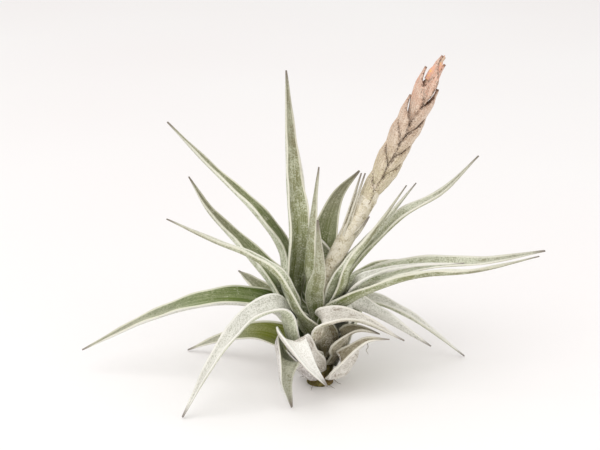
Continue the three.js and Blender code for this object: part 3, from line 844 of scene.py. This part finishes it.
# the bracts in two ranks: side -1 is left, the distance of each point along the line, and how far it
# stands out; lift, radius and half width change between two shares of the bract's length
bract = {
    "rows": [(-1, 38, 2.6), (1, 43.5, 3.3), (-1, 46, 3.2), (1, 48.5, 3.1), (-1, 53.5, 3.5), (1, 55.5, 3.3),
             (-1, 58.5, 3.4), (1, 62.5, 3.2), (-1, 66.5, 2.8), (1, 69.5, 1.5), (-1, 71, 0.6)],
    "length": 15, "thickness": 0.4, "count": 36, "across": 20,
    "rootLift": 0.8, "lifted": (-0.25, 0.75), "rootRadius": 1.7, "radius": 2.7, "opened": (0, 0.5),
    "rootHalf": 2.6, "half": 4.1, "widened": (0, 0.45), "tapered": (0.5, 1.03), "tipHalf": 0.06,
    "tip": (0.7, 1), "tipDip": 0.15, "tipClosing": 0.55, "widestAngle": 1.75, "squash": 0.85,
    "keel": 0.25, "keelWidth": 0.12, "keelStart": (0.1, 0.5), "ragged": 0.12,
}


def bractStations(side, tip, stand):
    base = tip - bract["length"]
    count = bract["count"]
    keel = []
    for i in range(count + 1):
        s = i / count
        at = min(0.999, (base + s * bract["length"]) / spikeLine.length)
        left = crossDirection(spikeLine.direction(at))
        lift = mix(bract["rootLift"], stand, smooth(*bract["lifted"], s))
        lift = lift * (1 - bract["tipDip"] * smooth(*bract["tip"], s))
        keel.append((spikeLine.point(at) - left * side * lift, left * side, s))
    stations = []
    for i, (point, inward, s) in enumerate(keel):
        along = (keel[min(count, i + 1)][0] - keel[max(0, i - 1)][0]).normalized()
        face = (inward - along * along.dot(inward)).normalized()
        closing = 1 - bract["tipClosing"] * smooth(*bract["tip"], s)
        radius = mix(bract["rootRadius"], bract["radius"], smooth(*bract["opened"], s)) * closing
        full = mix(bract["rootHalf"], bract["half"], smooth(*bract["widened"], s))
        half = full * (1 - smooth(*bract["tapered"], s)) + bract["tipHalf"]
        stations.append({"point": point, "face": face, "side": along.cross(face), "radius": radius,
                         "half": half, "angle": min(half / radius, bract["widestAngle"]), "s": s})
    return stations


def makeBracts():
    for number, row in enumerate(bract["rows"]):
        stations = bractStations(*row)
        bm, layers = newStrip(bract["count"], bract["across"])
        for vert in bm.verts:
            s, t = gridPlace(vert)
            at = stations[round(s * bract["count"])]
            angle = at["angle"] * t
            keel = bract["keel"] * math.exp(-(t / bract["keelWidth"]) ** 2)
            keel = keel * smooth(*bract["keelStart"], at["s"])
            ragged = bract["ragged"] * noise.noise(Vector((at["s"] * 9, t * 2, number * 4.1)))
            reach = bract["squash"] * at["radius"] * math.sin(angle)
            lift = at["radius"] * (1 - math.cos(angle)) - keel + ragged
            vert.co = at["point"] + at["side"] * reach + at["face"] * lift
            markBlade(vert, layers, at["s"], bract["length"], t, at["half"])
        finishPiece(bm, f"bract_{number + 1}", [bractFinish], ["flower_spike"], bract["thickness"])


# the closed flower bud that fills the top of the spike
bud = {
    "line": [(27.4, 7.2, 81.5), (29.8, 7.7, 85), (31.5, 8.1, 87.9)], "radius": 1.35, "tipRadius": 0.12,
    "around": 20, "rings": 28, "petals": 3, "foldDepth": 0.1, "twist": 4,
    "rootShare": 0.75, "swollen": (0, 0.35), "tapered": (0.3, 1.02),
    # the yellow streaks are partly the bud's own yellow and partly a painted glint
    "colour": (226, 174, 150), "streak": (240, 190, 124),
    "yellowAndGlintStreaks": {"scale": 1500.0, "from": 0.52, "to": 0.66},
}


def makeBud():
    material, tree, shader = newMaterial("budSkin", roughness=0.7, sheen=0.1)
    # yellow streaks: partly the bud's own colour, partly a painted glint
    yellowAndGlintStreaks = spots(tree, objectPlace(tree), bud["yellowAndGlintStreaks"])
    feed(tree, shader.inputs["Base Color"], blendColour(tree, yellowAndGlintStreaks, bud["colour"], bud["streak"]))

    def radiusAt(share, x, y):
        folds = 1 + bud["foldDepth"] * math.cos(bud["petals"] * math.atan2(y, x) + share * bud["twist"])
        swell = mix(bud["rootShare"], 1, smooth(*bud["swollen"], share))
        swell = swell * (1 - smooth(*bud["tapered"], share))
        return bud["radius"] * folds * swell + bud["tipRadius"]
    bm = makeRod(SmoothLine(bud["line"]), radiusAt, bud["around"], bud["rings"])
    finishPiece(bm, "flower_bud", [material], ["flower_spike"])


makeStalk()
makeBracts()
makeBud()
print("flower spike made")

# narrow leaflets on the flower stalk
leaflets = {
    "rows": [
        {"path": [(5, 1, 40), (7.5, 2, 48), (10.5, 3, 58)], "width": 2.2, "facing": (0.3, -1, 0)},
        {"path": [(6, 0.5, 40.5), (8.5, 1, 49), (11.5, 3, 58)], "width": 2, "facing": (0.3, -1, 0)},
        {"path": [(8, 1.5, 40.5), (10, -0.5, 43.5), (12.5, -1, 47.5)], "width": 2.4, "facing": (-0.4, -1, 0)},
    ],
    "finish": "fadedGrey", "count": 30, "across": 8, "thickness": 0.4, "tipWidth": 0.25, "rootShare": 0.8,
    "widestAngle": 0.9, "tightest": 0.5,
}


def makeLeaflets():
    finish = finishes[leaflets["finish"]]
    for number, row in enumerate(leaflets["rows"]):
        line = SmoothLine(row["path"])
        facing = Vector(row["facing"])
        bm, layers = newStrip(leaflets["count"], leaflets["across"])
        for vert in bm.verts:
            s, t = gridPlace(vert)
            along = line.direction(s)
            face = (facing - along * along.dot(facing)).normalized()
            half = mix(row["width"] * leaflets["rootShare"], leaflets["tipWidth"], s) / 2
            widest = min(leaflets["widestAngle"], half / leaflets["tightest"])
            radius = half / widest
            reach = radius * math.sin(widest * t)
            lift = radius * (1 - math.cos(widest * t))
            vert.co = line.point(s) + along.cross(face) * reach + face * lift
            markBlade(vert, layers, s, line.length, t, half)
        finishPiece(bm, f"stalk_leaflet_{number + 1}", [finish, finish], ["flower_spike"],
                    leaflets["thickness"])


makeLeaflets()


def makeStemFinish():
    material, tree, shader = newMaterial("dryStem", roughness=0.9)
    where = objectPlace(tree)
    base = blendColour(tree, spots(tree, where, stem["dryFibres"]), stem["dark"], stem["dry"])
    base = blendColour(tree, spots(tree, where, stem["rustSpots"]), base, stem["rust"])
    scurf = useGroup(tree, "scurf", Cover=0.3, Grain=2200.0)
    base = blendColour(tree, times(tree, scurf["Scales"], stem["scaleShare"]), base, stem["scale"])
    feed(tree, shader.inputs["Base Color"], base)
    addBump(tree, shader, scurf["Height"], stem["bump"])
    return material


stemFinish = makeStemFinish()


def makeStem():
    # the stub, turned from its profile, with dented sides as the bases of old leaves leave them
    bm = bmesh.new()
    profile = [(0, 0)] + stem["profile"] + [(stem["profile"][-1][0], 0)]
    verts = [bm.verts.new((radius, 0, height)) for height, radius in profile]
    edges = [bm.edges.new(pair) for pair in zip(verts, verts[1:])]
    bmesh.ops.subdivide_edges(bm, edges=edges[1:-1], cuts=stem["cuts"])
    geometry = list(bm.verts) + list(bm.edges)
    bmesh.ops.spin(bm, geom=geometry, cent=(0, 0, 0), axis=(0, 0, 1), angle=2 * math.pi,
                   steps=stem["around"], use_merge=True)
    bmesh.ops.remove_doubles(bm, verts=bm.verts, dist=stem["merge"])
    for vert in bm.verts:
        around = math.atan2(vert.co.y, vert.co.x)
        if vert.co.xy.length > stem["flatMiddle"] and vert.co.z > stem["footEdge"]:
            side = Vector((math.cos(around), math.sin(around), 0))
            at = side * stem["dentsAround"] + Vector((0, 0, vert.co.z * stem["dentsAlong"]))
            dent = stem["dent"] * noise.noise(at) - stem["shrink"]
            vert.co += side * dent
    bmesh.ops.recalc_face_normals(bm, faces=bm.faces)
    finishPiece(bm, "stem_stub", [stemFinish], ["stem"])


makeStem()

# dry fibres of rotted leaf bases: at the foot, and hanging from the old leaf's edge
fibres = {
    "radius": 0.1, "tipShare": 0.35, "around": 8, "rings": 16, "colour": (104, 86, 56),
    "stem": [
        [(1.4, -3.2, 1.4), (2.5, -4.3, 0.8), (3.9, -4.9, 0.2)],
        [(-1.2, -3.3, 1.1), (-2.1, -4.6, 0.7), (-2.4, -6, 0.2)],
        [(3.2, -1.4, 1.7), (4.5, -2.3, 0.8), (5.6, -2.2, 0.2)],
        [(3.2, 0.8, 2.2), (4.5, 1.4, 1.4), (5.7, 2.1, 0.2)],
        [(-3.2, 0.6, 2), (-4.4, 0.9, 1), (-5.4, 2, 0.2)],
        [(0.4, 3.4, 1.8), (1, 4.4, 1), (0.6, 5.6, 0.2)],
    ],
    "leaf_old_right": [
        [(11.7, -11.6, 17.3), (12.2, -12.4, 15.9), (11.7, -12.7, 15), (12.3, -12.9, 13.9)],
        [(9.2, -11.9, 15.4), (8.9, -13, 14.3), (9.5, -13.4, 13.3)],
    ],
}


def makeFibres():
    material, tree, shader = newMaterial("dryFibre", roughness=0.9)
    shader.inputs["Base Color"].default_value = paint(fibres["colour"])

    def radiusAt(share, x, y):
        return fibres["radius"] * mix(1, fibres["tipShare"], share)
    for node, slotName in (("stem", "stem"), ("leaf_old_right", leaves["leaf_old_right"]["slot"])):
        for number, points in enumerate(fibres[node]):
            bm = makeRod(SmoothLine(points), radiusAt, fibres["around"], fibres["rings"])
            finishPiece(bm, f"{node}_fibre_{number + 1}", [material], [node])


makeFibres()
print("stem and fibres made")


def makeFloor():
    material, tree, shader = newMaterial("paleFloor", roughness=0.9, specular=0.1)
    tone = spots(tree, objectPlace(tree), studio["floorTone"])
    base = blendColour(tree, tone, studio["floorColour"], studio["floorPale"])
    feed(tree, shader.inputs["Base Color"], base)
    bm = bmesh.new()
    bmesh.ops.create_grid(bm, x_segments=2, y_segments=2, size=studio["floorSize"])
    mesh = bpy.data.meshes.new("floor")
    bm.to_mesh(mesh)
    bm.free()
    mesh.materials.append(material)
    floor = bpy.data.objects.new("floor", mesh)
    bpy.context.scene.collection.objects.link(floor)


makeFloor()

print("scene done")
